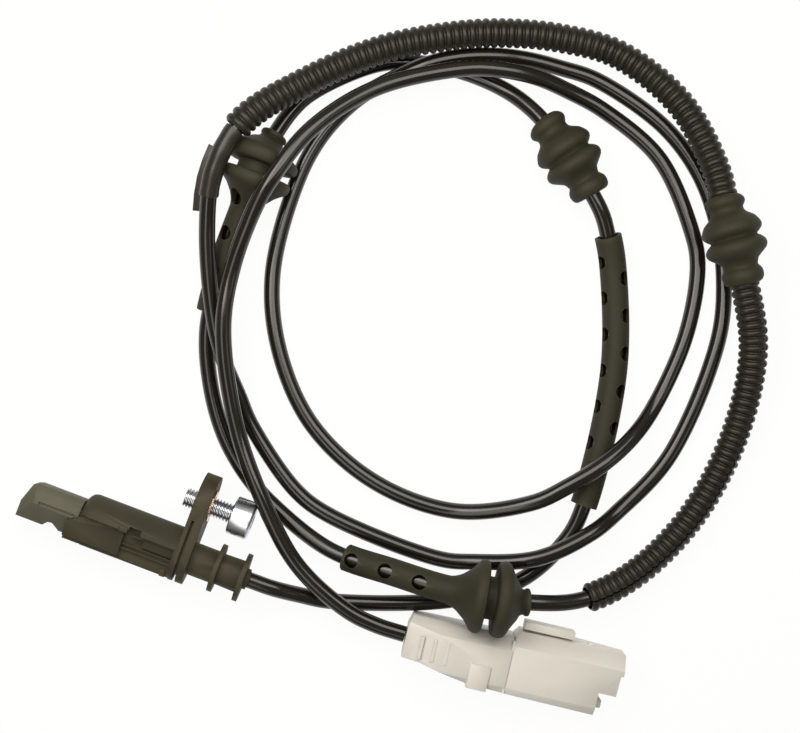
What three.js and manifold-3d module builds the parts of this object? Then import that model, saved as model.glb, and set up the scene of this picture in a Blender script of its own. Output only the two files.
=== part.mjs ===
// A vehicle wheel speed sensor with its lead, sleeves, grommets, conduit and connector.
// Millimetres. The sensor points along -X, its lead leaves along +X, and +Z is up from the table.
// The origin is under the middle of the sensor head, on the table.
import * as THREE from 'three';
import { mergeVertices } from 'three/addons/utils/BufferGeometryUtils.js';
import Module from 'manifold-3d';

const wasm = await Module();
wasm.setup();

// Clearance between pieces that touch, and the overrun of a cutter past the face it leaves
const clearance = 0.3;
const overrun = 1;

// Sensor head
const noseReach = 50;
const noseLength = 18.7;
const noseTopSide = 5.2;
const noseLowSide = 6.4;
const noseHalfHeight = 5.2;
const bodyRadius = 8.2;
const spigotRadius = 4.2;
const spigotLength = 4.3;
const coreBoreRadius = 2.2;
const recessLength = 16;
const recessDepth = 1.5;
const ribThickness = 0.6;
const flangeThickness = 4.6;
const flangeBodyRadius = 8.4;
const earRadius = 9.3;
const earOffset = 16.9;
const tailRadius = 5.1;
const tailLength = 18.4;
const tailRingRadius = 7.6;
const tailRingThickness = 1.4;
const tailRingPlaces = [8.3, 16.5];

// Sensing element inside the nose
const chipLength = 5;
const chipWidth = 4.6;
const chipThickness = 2.2;
const leadWidth = 1;
const leadThickness = 0.5;
const leadLength = 19;
const leadPitch = 2.4;

// Fixing screw and the metal bush in the ear
const screwRadius = 3;
const screwLength = 16.8;
const screwStandOff = 6.7;
const headRadius = 5.75;
const headHeight = 6.7;
const tipChamfer = 1;
const headChamfer = 0.6;
const keyAcrossFlats = 5;
const keyDepth = 3.2;
const bushWall = 1.6;
const bushProud = 0.4;

// Lead and what is threaded on it, with places measured along the lead from the sensor
const leadRadius = 2.5;
const freeStep = 30;
const holedSleeveStart = 117;
const holedSleeveLength = 84;
const holedSleeveRadius = 4.15;
const sleeveWall = 0.9;
const holeRadius = 2.2;
const holePitch = 11.4;
const frontBellowsStart = 216;
const frontGrommetStart = 339.5;
const grommetLength = 24.6;
const grommetSleeveLength = 33.5;
const grommetWhole = grommetLength + grommetSleeveLength;
const rearGrommetSleeveEnd = 491;
const frontWindowAngle = THREE.MathUtils.degToRad(55);
const rearWindowAngle = THREE.MathUtils.degToRad(90);
const lowerConduitStart = 568;
const lowerConduitLength = 119;
const conduitPitch = 2.43;
const conduitCrestRadius = 4.5;
const conduitRootRadius = 4;
const conduitBoreRadius = 3.35;
const slitWidth = 0.7;
const lowerSlitAngle = THREE.MathUtils.degToRad(68);
const upperSlitAngle = THREE.MathUtils.degToRad(-90);
const rearBellowsStart = 687.4;
const bellowsLength = 24.8;
const upperConduitStart = 712.6;
const upperConduitLength = 181.3;
const shrinkStart = 894.5;
const shrinkLength = 21.5;
const shrinkWall = 0.4;
const tapeTailStart = 902;
const tapeTailLength = 20;
const tapeTailWidth = 6;
const tapeTailShift = 2;
const tapeThickness = 0.5;

// Connector
const connectorAngle = THREE.MathUtils.degToRad(7.6);
const connectorHeight = 15;
const backCoverLength = 32.2;
const connectorLength = 66.5;
const skirtLength = 60.2;
const socketDepth = 16.5;
const railFrom = 34.5;
const railLength = 15.4;
const bumpPlace = 56;
const lockFrom = 44;
const lockProud = 2.1;
const leadEntryRadius = 2.2;
const gripPitch = 4;
const sealLength = 5.4;
const pinWidth = 1.6;
const pinThickness = 0.8;
const pinLength = 22;
const pinPitch = 4.2;

// Materials
function material(color, roughness, metalness = 0) {
  return new THREE.MeshStandardMaterial({ color, roughness, metalness, flatShading: true });
}
const blackPlastic = material('#26241f', 0.55);
const nosePlastic = material('#57544d', 0.45);
const blackRubber = material('#1f1d19', 0.7);
const conduitPlastic = material('#1b1a17', 0.4);
const jacket = material('#151411', 0.25);
const greyPlastic = material('#c9c4ba', 0.45);
const zincSteel = material('#b9bbbd', 0.3, 1);
const brass = material('#b08d4f', 0.4, 1);
const tinnedCopper = material('#c8c6c0', 0.35, 1);
const chipResin = material('#2b2b2e', 0.5);
const sealRubber = material('#7a4a3a', 0.7);

// Solids: closed geometries in and out of the boolean library
function solid(geometry) {
  const bare = geometry.clone();
  bare.deleteAttribute('normal');
  bare.deleteAttribute('uv');
  const merged = mergeVertices(bare, 1e-5);
  const vertProperties = new Float32Array(merged.attributes.position.array);
  const triVerts = new Uint32Array(merged.index.array);
  return new wasm.Manifold(new wasm.Mesh({ numProp: 3, vertProperties, triVerts }));
}

function named(name, shape, look) {
  const mesh = shape.getMesh();
  const geometry = new THREE.BufferGeometry();
  const corners = new Float32Array(mesh.vertProperties);
  geometry.setAttribute('position', new THREE.BufferAttribute(corners, 3));
  geometry.setIndex(new THREE.BufferAttribute(new Uint32Array(mesh.triVerts), 1));
  geometry.computeVertexNormals();
  const part = new THREE.Mesh(geometry, look);
  part.name = name;
  return part;
}

function block(low, high) {
  const geometry = new THREE.BoxGeometry(high[0] - low[0], high[1] - low[1], high[2] - low[2]);
  geometry.translate((low[0] + high[0]) / 2, (low[1] + high[1]) / 2, (low[2] + high[2]) / 2);
  return solid(geometry);
}

// A flat outline of [a, b] points swept from one place to another along an axis
function prism(outline, from, to, axis) {
  const shape = outline instanceof THREE.Shape
    ? outline
    : new THREE.Shape(outline.map(([a, b]) => new THREE.Vector2(a, b)));
  const settings = { depth: to - from, bevelEnabled: false, curveSegments: 10 };
  const geometry = new THREE.ExtrudeGeometry(shape, settings);
  geometry.translate(0, 0, from);
  if (axis === 'x') {
    geometry.applyMatrix4(new THREE.Matrix4().set(0, 0, 1, 0, 1, 0, 0, 0, 0, 1, 0, 0, 0, 0, 0, 1));
  }
  if (axis === 'y') {
    geometry.applyMatrix4(new THREE.Matrix4().set(1, 0, 0, 0, 0, 0, -1, 0, 0, 1, 0, 0, 0, 0, 0, 1));
  }
  return solid(geometry);
}

// A closed profile of [x, radius] points turned about the X axis
function turned(profile, sides) {
  const points = profile.map(([x, radius]) => new THREE.Vector2(radius, x));
  const geometry = new THREE.LatheGeometry(points, sides);
  geometry.rotateZ(-Math.PI / 2);
  return solid(geometry);
}

function rod(from, to, radius, sides = 16) {
  return turned([[from, 0], [from, radius], [to, radius], [to, 0]], sides);
}

// The lead's centreline from the sensor's tail to the connector, as it lies on the table
const leadRoute = new THREE.CatmullRomCurve3([
  [36.9, -8.9, 9.3], [44, -8.85, 8.7], [53, -8.3, 5.2], [62.5, -7, 3], [98, 7, 2.5], [115, 20, 2.5],
  [123, 35.5, 3.5], [124.5, 46, 4.4], [118.5, 90, 4.4], [107, 119.5, 5], [101.5, 128.5, 7],
  [96.5, 134.5, 9], [73.5, 151.8, 9.2], [66, 156, 7], [57, 159, 4], [44.5, 160, 2.6], [30, 158, 2.5],
  [17.5, 153, 2.8], [2, 137.5, 5.6], [-2, 129.2, 7.9], [-4.6, 114.4, 11.4], [-4.7, 103, 11.6],
  [-5.2, 76, 5.8], [-2.9, 57.5, 3.4], [4, 42, 2.5], [13.5, 29, 2.5], [25, 19.5, 2.5], [37, 13.5, 2.8],
  [56.5, 8, 6], [77, 9.2, 12], [95.5, 11, 16.3], [118.5, 15.8, 15.6], [134, 22.2, 11.4], [147.2, 36, 7],
  [157, 58, 4.7], [160, 85, 5.4], [155, 111, 10.4], [143.5, 130, 14.7], [131, 148, 14.2],
  [124.5, 158, 12.4], [108, 173, 9.4], [85.5, 180.5, 8.6], [67, 179, 8.6], [49, 173.5, 10.4],
  [33, 165.5, 12.6], [17, 155, 13.8], [0, 138, 16.4], [-13.2, 118.5, 22.5], [-15.6, 102.5, 21.3],
  [-12, 85.5, 15.6], [-1.5, 62, 11], [5.5, 51, 7.8], [13.5, 42, 4.2], [20, 35, 2.7], [40, 21, 2.5],
  [52, 17.5, 2.5], [89, 17, 2.8], [99, 20, 4.2], [116.5, 28.5, 9.6], [129, 41, 8], [135, 50, 3.8],
  [144, 71.5, 2.5], [145.5, 110, 2.5], [140.5, 128.5, 2.5], [132, 144.5, 2.5], [121, 157, 2.5],
  [106, 166.3, 2.5], [82, 172.2, 2.5], [70.5, 171.7, 2.8], [59, 170, 4.6], [49, 166.8, 7.2],
  [39.5, 162.5, 8], [32, 157.5, 8.2], [19.3, 146, 3.4], [14.3, 139.3, 2.5], [9, 127, 2.5],
  [6.7, 112, 2.5], [9.7, 81, 2.5], [20, 59.5, 2.5], [37.5, 41.7, 2.5], [62, 32, 2.5], [88, 32.5, 4],
  [109, 43.8, 10.6], [116.7, 52, 12.6], [124, 61.5, 12.4], [130, 72, 9], [134, 84, 3.8],
  [135.6, 108.5, 2.5], [131.3, 130, 2.5], [125.5, 139.5, 2.5], [108.5, 156.5, 2.5], [87.5, 164, 3.2],
  [75, 165.3, 5.6], [64, 165, 9.6], [53, 162.7, 12.6], [43, 159, 13.8], [20.5, 143.5, 17.8],
  [7, 124, 23.8], [1.7, 106.5, 26], [0, 97.5, 24.4], [-0.7, 78.5, 17.8], [3, 60, 16.6],
  [17, 33.2, 11.4], [31.9, 15.7, 11.7], [48.7, 0.7, 9.8], [68, -7.2, 8.4], [78, -8.3, 7.7],
  [87, -7.8, 7.5],
].map(([x, y, z]) => new THREE.Vector3(x, y, z)), false, 'centripetal');
leadRoute.arcLengthDivisions = 5000;
const leadTotal = leadRoute.getLength();

// Position and upright cross directions at a distance along the lead
function leadFrame(distance) {
  const u = THREE.MathUtils.clamp(distance / leadTotal, 0, 1);
  const point = leadRoute.getPointAt(u);
  const along = leadRoute.getTangentAt(u);
  const side = new THREE.Vector3().crossVectors(along, new THREE.Vector3(0, 0, 1)).normalize();
  const up = new THREE.Vector3().crossVectors(side, along);
  return { point, along, side, up };
}

// A closed body threaded along the lead: at each distance a ring of [side, up] points
function threaded(distances, ringAt) {
  const positions = [];
  const index = [];
  const count = ringAt(distances[0]).length;
  for (const distance of distances) {
    const frame = leadFrame(distance);
    for (const [s, t] of ringAt(distance)) {
      const corner = frame.point.clone().addScaledVector(frame.side, s).addScaledVector(frame.up, t);
      positions.push(corner.x, corner.y, corner.z);
    }
  }
  for (let row = 0; row < distances.length - 1; row++) {
    for (let k = 0; k < count; k++) {
      const a = row * count + k;
      const b = row * count + (k + 1) % count;
      index.push(a, b + count, b, a, a + count, b + count);
    }
  }
  const last = (distances.length - 1) * count;
  for (let k = 1; k < count - 1; k++) {
    index.push(0, k, k + 1);
    index.push(last, last + k + 1, last + k);
  }
  const geometry = new THREE.BufferGeometry();
  geometry.setAttribute('position', new THREE.Float32BufferAttribute(positions, 3));
  geometry.setIndex(index);
  return solid(geometry);
}

function circle(radius, sides, first = Math.PI / sides) {
  const points = [];
  for (let k = 0; k < sides; k++) {
    const angle = first + 2 * Math.PI * k / sides;
    points.push([radius * Math.cos(angle), radius * Math.sin(angle)]);
  }
  return points;
}

// Distances at an even spacing from one end to the other
function even(from, to, spacing) {
  const steps = Math.max(1, Math.round((to - from) / spacing));
  return Array.from({ length: steps + 1 }, (_, k) => from + (to - from) * k / steps);
}

// A round body on the lead from a profile of [offset, radius] pairs
function threadedProfile(start, profile, sides, first) {
  const radii = new Map(profile.map(([offset, radius]) => [start + offset, radius]));
  return threaded([...radii.keys()], (distance) => circle(radii.get(distance), sides, first));
}

const boreSides = 8;
const roundSides = 12;
const windowSides = 7;
const conduitSides = 7;
function bore(from, to, radius, spacing = 8) {
  return threaded(even(from - overrun, to + overrun, spacing), () => circle(radius, boreSides));
}

// A round window through one wall of a sleeve, at an angle up from its right side
function windowCutter(distance, angle, reach) {
  const frame = leadFrame(distance);
  const outward = frame.side.clone().multiplyScalar(Math.cos(angle));
  outward.addScaledVector(frame.up, Math.sin(angle));
  const geometry = new THREE.CylinderGeometry(holeRadius, holeRadius, reach, windowSides);
  geometry.translate(0, reach / 2 + leadRadius, 0);
  const turn = new THREE.Quaternion().setFromUnitVectors(new THREE.Vector3(0, 1, 0), outward);
  geometry.applyQuaternion(turn);
  geometry.translate(frame.point.x, frame.point.y, frame.point.z);
  return solid(geometry);
}

// Nose: the lighter moulding that holds the sensing element
function makeNose() {
  const back = -noseReach + noseLength;
  const section = prism([
    [noseTopSide, -3.6], [noseTopSide, 3.2], [3.6, noseHalfHeight], [-0.6, noseHalfHeight],
    [-1.6, noseHalfHeight - 1], [-noseLowSide, 1.6], [-noseLowSide, -3.2],
    [-4.6, -noseHalfHeight], [3.6, -noseHalfHeight],
  ], -noseReach, back, 'x');
  const plan = prism([
    [-noseReach, -10], [-noseReach, -1.6], [-noseReach + 2.4, noseTopSide - 0.6],
    [-noseReach + 4.6, noseTopSide + 0.2], [-noseReach + 5, 10], [back + 1, 10], [back + 1, -10],
  ].reverse(), -10, 10, 'z');
  const profile = prism([
    [-noseReach, -10], [back + 1, -10], [back + 1, 10], [-noseReach + 5, 10],
    [-noseReach + 4.4, noseHalfHeight + 0.2], [-noseReach, 1.6],
  ], -10, 10, 'y');
  const spigot = rod(back - 2, back + spigotLength, spigotRadius);
  const notch = prism([
    [-noseReach + 8.4, -noseLowSide - 2], [-noseReach + 14, -noseLowSide - 2],
    [-noseReach + 13.6, -noseLowSide + 0.2], [-noseReach + 11.4, -noseLowSide + 1.7],
    [-noseReach + 10, -noseLowSide + 1.5], [-noseReach + 8.4, -noseLowSide - 0.2],
  ], -10, 10, 'z');
  const groove = block([-noseReach + 6, -0.9, noseHalfHeight - 0.8], [-noseReach + 17.6, 0.4, 10]);
  const shelf = block([back - 3.2, -10, -10], [back + overrun, -3.4, 10]);
  const halfWidth = chipWidth / 2 + clearance;
  const halfThickness = chipThickness / 2 + clearance;
  const pocket = block(
    [-noseReach + 1.5, -halfWidth, -halfThickness],
    [back + spigotLength + overrun, halfWidth, halfThickness],
  );
  return section.intersect(plan).intersect(profile).subtract(shelf).add(spigot)
    .subtract(notch).subtract(groove).subtract(pocket);
}

// Housing: barrel, flange with its ear, and the ringed tail, moulded as one
function makeHousing() {
  const front = -noseReach + noseLength + clearance;
  const socketEnd = front + spigotLength + clearance;
  const tailEnd = flangeThickness + tailLength;
  const barrel = turned([
    [front, 0], [front, bodyRadius - 3], [front + 0.3, bodyRadius - 1.6],
    [front + 1.2, bodyRadius - 0.5], [front + 2.6, bodyRadius], [1, bodyRadius], [1, 0],
  ], 20);
  const deckHigh = 5.4;
  const deckLow = 2.6;
  const deckCut = prism([
    [1.6, 12], [1.6, deckHigh], [-10, deckLow], [-10, 12],
  ], front - overrun, -overrun / 2, 'x');
  const recess = prism([
    [0.4, 12], [0.4, deckHigh - 0.4 - recessDepth], [-10, deckLow - recessDepth], [-10, 12],
  ], -recessLength - 0.9, -0.9, 'x');
  const pocket = block([-recessLength - 2.4, -0.6, 3.6], [-recessLength + 2, 2.4, 12]);
  const slab = prism([
    [-3.7, -4.6], [-3.7, 4.2], [-7.6, 3.2], [-7.6, -2],
  ].reverse(), front - 3.2, front + 2, 'x');
  const ribs = [-3, -4.3].map((y) => block(
    [-recessLength - 1.2, y - ribThickness / 2, 0], [0.5, y + ribThickness / 2, 3.1 + y * 0.24],
  ));
  const foot = block([-2.9, -flangeBodyRadius, -3.4], [-1.2, -6, 2.2]);

  const lean = Math.asin((earRadius - flangeBodyRadius) / earOffset);
  const plate = new THREE.Shape();
  plate.absarc(earOffset, 0, earRadius, -Math.PI / 2 - lean, Math.PI / 2 + lean, false);
  plate.absarc(0, 0, flangeBodyRadius, Math.PI / 2 + lean, 1.5 * Math.PI - lean, false);
  const flange = prism(plate, 0, flangeThickness, 'x');
  const bushHole = rod(-overrun, flangeThickness + overrun, screwRadius + bushWall + 2 * clearance, 20)
    .translate([0, earOffset, 0]);

  const tailProfile = [[flangeThickness - 1, 0], [flangeThickness - 1, tailRadius]];
  for (const place of tailRingPlaces) {
    const ringStart = flangeThickness + place - tailRingThickness / 2;
    tailProfile.push([ringStart, tailRadius], [ringStart, tailRingRadius]);
    tailProfile.push([ringStart + tailRingThickness, tailRingRadius]);
    tailProfile.push([ringStart + tailRingThickness, tailRadius - 0.2]);
  }
  tailProfile.push([tailEnd - 1, tailRadius - 1.8], [tailEnd, tailRadius - 1.9], [tailEnd, 0]);
  const tail = turned(tailProfile, 16);

  const spigotSocket = rod(front - 5, socketEnd, spigotRadius + clearance);
  const coreBore = rod(socketEnd - overrun, tailEnd + overrun, coreBoreRadius, 12);
  let housing = barrel.subtract(deckCut).subtract(recess).subtract(pocket).add(slab);
  for (const rib of ribs) {
    housing = housing.add(rib);
  }
  return housing.add(foot).add(flange).add(tail).subtract(bushHole)
    .subtract(spigotSocket).subtract(coreBore);
}

function makeBush() {
  const inner = screwRadius + clearance;
  const from = -bushProud;
  const to = flangeThickness + bushProud;
  const outer = inner + bushWall;
  const ring = [[from, inner], [from, outer], [to, outer], [to, inner], [from, inner]];
  return turned(ring, 20).translate([0, earOffset, 0]);
}

function makeScrew() {
  const seat = flangeThickness + screwStandOff;
  const tip = seat - screwLength;
  const end = seat + headHeight;
  const screw = turned([
    [tip, 0], [tip, screwRadius - tipChamfer], [tip + tipChamfer, screwRadius], [seat, screwRadius],
    [seat, headRadius], [end - headChamfer, headRadius], [end, headRadius - headChamfer], [end, 0],
  ], 24);
  const corner = keyAcrossFlats / Math.sqrt(3);
  const hexagon = even(0, 2 * Math.PI, Math.PI / 3).slice(1)
    .map((angle) => [corner * Math.cos(angle), corner * Math.sin(angle)]);
  const keySocket = prism(hexagon, end - keyDepth, end + overrun, 'x');
  return screw.subtract(keySocket).translate([0, earOffset, 0]);
}

function makeChip() {
  const back = -noseReach + 1.5 + clearance;
  const low = [back, -chipWidth / 2, -chipThickness / 2];
  return block(low, [back + chipLength, chipWidth / 2, chipThickness / 2]);
}

function makeLead(sideways) {
  const from = -noseReach + 1.5 + chipLength + 2 * clearance;
  const y = sideways * leadPitch / 2;
  const low = [from, y - leadWidth / 2, -leadThickness / 2];
  return block(low, [from + leadLength, y + leadWidth / 2, leadThickness / 2]);
}

// Holed sleeve: a soft tube with two rows of round windows, one row half a pitch behind the other
function makeHoledSleeve() {
  const end = holedSleeveStart + holedSleeveLength;
  const outside = threaded(even(holedSleeveStart, end, 12), () => circle(holedSleeveRadius, roundSides));
  let sleeve = outside.subtract(bore(holedSleeveStart, end, holedSleeveRadius - sleeveWall));
  const rows = [
    { angle: THREE.MathUtils.degToRad(42), first: 25 },
    { angle: THREE.MathUtils.degToRad(160), first: 19.3 },
  ];
  for (const row of rows) {
    for (let place = row.first; place < holedSleeveLength - 4; place += holePitch) {
      sleeve = sleeve.subtract(windowCutter(holedSleeveStart + place, row.angle, 4));
    }
  }
  return sleeve;
}

// Bellows: two soft bulges between end beads, hollow behind the bulges
const bellowsOutside = [
  [0, 5.4], [0.7, 6.1], [2.1, 6.1], [2.8, 5.3], [5, 5.6], [8, 8.8], [9.2, 9.1], [10.4, 8.8],
  [11.7, 6.1], [13.4, 8.5], [14.6, 9], [16, 8.3], [17.8, 5.6], [21.8, 5.5], [22.6, 6.2],
  [24.1, 6.2], [bellowsLength, 5.4],
];
const bellowsInside = [[4.4, leadRadius], [9.2, 7.7], [11.8, 4.9], [14.6, 7.6], [18.2, leadRadius]];
function makeBellows(start) {
  const outside = threadedProfile(start, bellowsOutside, roundSides);
  const hollow = threadedProfile(start, bellowsInside, boreSides);
  return outside.subtract(hollow)
    .subtract(bore(start, start + bellowsLength, leadRadius + clearance, 4));
}

// Grommet: neck, two discs with the panel groove between them, a cone, and a windowed sleeve
const grommetOutside = [
  [0, 4.1], [1.2, 4.1], [1.4, 3.8], [2.6, 4.2], [3.3, 5.6], [4.8, 7.6], [6.6, 10.7],
  [7.4, 11.4], [9.4, 11.4], [10.3, 10.7], [10.5, 6.4], [13.2, 6.4], [13.4, 10.4], [14.2, 11.1],
  [15.6, 11], [16.6, 10.2], [18, 8.4], [20, 6.6], [22.2, 5], [24.6, 4.2],
];
function makeGrommet(neckEnd, direction, windowPlaces, windowAngle) {
  const place = (offset) => neckEnd + direction * offset;
  const sleeve = [33, 41, 49, grommetWhole].map((offset) => [offset, holedSleeveRadius]);
  const profile = [...grommetOutside, ...sleeve];
  const placed = profile.map(([offset, radius]) => [place(offset), radius]);
  if (direction < 0) {
    placed.reverse();
  }
  const from = Math.min(place(0), place(grommetWhole));
  const outside = threadedProfile(0, placed, roundSides);
  let grommet = outside.subtract(bore(from, from + grommetWhole, holedSleeveRadius - sleeveWall, 8.5));
  for (const offset of windowPlaces) {
    grommet = grommet.subtract(windowCutter(place(offset), windowAngle, 4));
  }
  return grommet;
}

// Conduit: a corrugated tube with a slit along its length
function makeConduit(start, length, slitAngle) {
  const ridges = Math.round(length / conduitPitch);
  const pitch = length / ridges;
  const profile = [];
  for (let k = 0; k < ridges; k++) {
    profile.push([k * pitch, conduitRootRadius], [(k + 0.5) * pitch, conduitCrestRadius]);
  }
  profile.push([length, conduitRootRadius]);
  const end = start + length;
  const cutDistances = even(start - overrun, end + overrun, 12);
  const outer = conduitCrestRadius + overrun;
  const inner = conduitBoreRadius - overrun / 2;
  const edge = slitWidth / 2;
  const slit = threaded(cutDistances, () => [[inner, -edge], [outer, -edge], [outer, edge], [inner, edge]]
    .map(([r, w]) => [
      r * Math.cos(slitAngle) - w * Math.sin(slitAngle),
      r * Math.sin(slitAngle) + w * Math.cos(slitAngle),
    ]));
  return threadedProfile(start, profile, conduitSides, slitAngle)
    .subtract(bore(start, end, conduitBoreRadius, 12)).subtract(slit);
}

function makeShrink() {
  const inner = leadRadius + 1.5 * clearance;
  const end = shrinkStart + shrinkLength;
  return threaded(even(shrinkStart, end, 5.2), () => circle(inner + shrinkWall, 10))
    .subtract(bore(shrinkStart, end, inner, 5.6));
}

// Tape tail: the flat loose end of the tape, under the shrink sleeve
function makeTapeTail() {
  const top = -(leadRadius + 2 * clearance + shrinkWall);
  const inner = tapeTailShift - tapeTailWidth / 2;
  const outer = tapeTailShift + tapeTailWidth / 2;
  const end = tapeTailStart + tapeTailLength;
  return threaded(even(tapeTailStart, end, 5), () => [
    [inner, top - tapeThickness], [outer, top - tapeThickness], [outer, top], [inner, top],
  ]);
}

// The lead itself, with closer steps where it runs inside a piece
class SteppedLead extends THREE.Curve {
  constructor(distances) {
    super();
    this.distances = distances;
  }

  getPoint(t) {
    const place = THREE.MathUtils.clamp(t, 0, 1) * (this.distances.length - 1);
    const k = Math.min(Math.floor(place), this.distances.length - 2);
    const distance = THREE.MathUtils.lerp(this.distances[k], this.distances[k + 1], place - k);
    return leadFrame(distance).point;
  }

  getPointAt(u) {
    return this.getPoint(u);
  }

  getTangentAt(u) {
    return this.getTangent(u);
  }
}

function makeLeadCable() {
  const close = [
    [holedSleeveStart, holedSleeveLength, 17],
    [frontBellowsStart, bellowsLength, 11],
    [frontGrommetStart, grommetWhole, 11],
    [rearGrommetSleeveEnd, grommetWhole, 14],
    [lowerConduitStart, lowerConduitLength, 17],
    [rearBellowsStart, bellowsLength, 11],
    [upperConduitStart, upperConduitLength, 14],
    [shrinkStart, shrinkLength, 6.5],
  ];
  const distances = [0];
  for (const [from, length, spacing] of close) {
    const free = even(distances[distances.length - 1], from, freeStep);
    distances.push(...free.slice(1), ...even(from, from + length, spacing).slice(1));
  }
  distances.push(...even(distances[distances.length - 1], leadTotal, freeStep).slice(1));
  const section = new THREE.Shape(circle(leadRadius, 8).map(([a, b]) => new THREE.Vector2(a, b)));
  const extrudePath = new SteppedLead(distances);
  const settings = { steps: distances.length - 1, bevelEnabled: false, extrudePath };
  return solid(new THREE.ExtrudeGeometry(section, settings));
}

// Connector, in its own frame: X from the lead's entry to the mating end, Z up from its base
const half = connectorHeight / 2;
const pinPlaces = [3.3 - pinPitch / 2, 3.3 + pinPitch / 2];
const pinLevel = 5;
const sealFrom = backCoverLength + 2 * clearance;
const sealSide = -5;
const sealTop = 6.2;
const webFrom = sealFrom + sealLength + clearance;

function makeBackCover() {
  const plan = prism([
    [0, -6], [5.7, -6.3], [14, -8], [21.2, -9.3], [backCoverLength, -9.6],
    [backCoverLength, 7.5], [5.7, 7.1], [1, 7], [0, 3.6],
  ], 0, connectorHeight + 2, 'z');
  const profile = prism([
    [0, 2], [4, 0.4], [8, 0], [backCoverLength, 0], [backCoverLength, connectorHeight],
    [10, connectorHeight], [0, connectorHeight - 2],
  ], -12, 12, 'y');
  const facet = prism([[3.5, connectorHeight], [9, connectorHeight - 7], [12, 20], [3.5, 20]],
    -overrun, backCoverLength + overrun, 'x');
  const lowFacet = prism([[-7.6, connectorHeight], [-7.6, 20], [-12, 20], [-12, connectorHeight - 3.6]],
    -overrun, backCoverLength + overrun, 'x');
  const hollow = prism([
    [8, -4.4], [22, -7.4], [backCoverLength + overrun, -7.6], [backCoverLength + overrun, 4.6], [8, 4.6],
  ], 2, connectorHeight - 2.6, 'z');
  const entry = rod(-overrun, 10, leadEntryRadius, 12).translate([0, 0, half]);
  const strap = block([20.7, -10.1, 6], [26.9, -2.6, connectorHeight + 0.8]);
  let cover = plan.intersect(profile).subtract(facet).subtract(lowFacet).add(strap);
  cover = cover.subtract(hollow).subtract(entry);
  for (let k = 0; k < 3; k++) {
    const x = 4.6 + k * gripPitch;
    cover = cover.subtract(block([x, -5, connectorHeight - 1.6], [x + 0.9, 1.6, connectorHeight + 1]));
  }
  return cover;
}

function makeConnectorHousing() {
  const from = backCoverLength + clearance;
  const plan = prism([
    [from, -9.7], [skirtLength, -9.9], [skirtLength, -2.7], [connectorLength - 1, -2.7],
    [connectorLength - 0.8, 3.5], [connectorLength, 3.6], [connectorLength, 9.4],
    [from + 18, 10], [from + 1.4, 9.4], [from, 7.6],
  ], 0, connectorHeight, 'z');
  const facet = prism([[5.2, connectorHeight], [11.6, connectorHeight - 7], [14, 20], [5.2, 20]],
    from - overrun, connectorLength + overrun, 'x');
  const lowFacet = prism([[-7.6, connectorHeight], [-7.6, 20], [-12, 20], [-12, connectorHeight - 3.6]],
    from - overrun, connectorLength + overrun, 'x');
  const rail = block([railFrom, 10.5, 4.5], [railFrom + railLength, 12.8, 11.5]);
  const web = block([railFrom, 8, 5.5], [railFrom + railLength, 11, 8]);
  const bump = block([bumpPlace - 1, 8, 4.5], [bumpPlace + 1, 10.4, 8.5]);
  const socket = block(
    [connectorLength - socketDepth, -0.7, 3], [connectorLength + overrun, 7.2, 11.4],
  );
  const sealPocket = block(
    [from - overrun, sealSide - clearance, 2.2], [webFrom, sealTop + clearance, 11.6],
  );
  const lockBay = block([lockFrom, -8.2, 4], [skirtLength + overrun, -3.6, 11]);
  let housing = plan.subtract(facet).subtract(lowFacet).add(rail).add(web).add(bump);
  housing = housing.subtract(socket).subtract(sealPocket).subtract(lockBay);
  const slotTo = connectorLength - socketDepth + overrun;
  const slotHalfWidth = pinWidth / 2 + clearance;
  const slotHalfHeight = pinThickness / 2 + clearance;
  for (const y of pinPlaces) {
    housing = housing.subtract(block(
      [webFrom - overrun, y - slotHalfWidth, pinLevel - slotHalfHeight],
      [slotTo, y + slotHalfWidth, pinLevel + slotHalfHeight],
    ));
  }
  return housing;
}

function makeSeal() {
  let seal = block([sealFrom, sealSide, 2.5], [sealFrom + sealLength, sealTop, 11.3]);
  for (const y of pinPlaces) {
    seal = seal.subtract(rod(sealFrom - overrun, sealFrom + sealLength + overrun, 0.9, 10)
      .translate([0, y, pinLevel]));
  }
  return seal;
}

function makePin(y) {
  const from = sealFrom + sealLength + clearance;
  return block(
    [from, y - pinWidth / 2, pinLevel - pinThickness / 2],
    [from + pinLength, y + pinWidth / 2, pinLevel + pinThickness / 2],
  );
}

function makeLock() {
  return block(
    [lockFrom + clearance, -8.2 + clearance, 4 + clearance],
    [skirtLength + lockProud, -5.4, 11 - clearance],
  );
}

// Sensor head, on the table
const sensor = new THREE.Group();
const tailReach = flangeThickness + tailLength;
const earReach = earOffset + earRadius;
sensor.position.set((noseReach - tailReach) / 2, -(earReach - flangeBodyRadius) / 2, earRadius);
sensor.add(named('sensor_nose', makeNose(), nosePlastic));
sensor.add(named('sensor_housing', makeHousing(), blackPlastic));
sensor.add(named('flange_bush', makeBush(), brass));
sensor.add(named('fixing_screw', makeScrew(), zincSteel));
sensor.add(named('sensing_chip', makeChip(), chipResin));
sensor.add(named('lead_strip_1', makeLead(-1), tinnedCopper));
sensor.add(named('lead_strip_2', makeLead(1), tinnedCopper));

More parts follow.
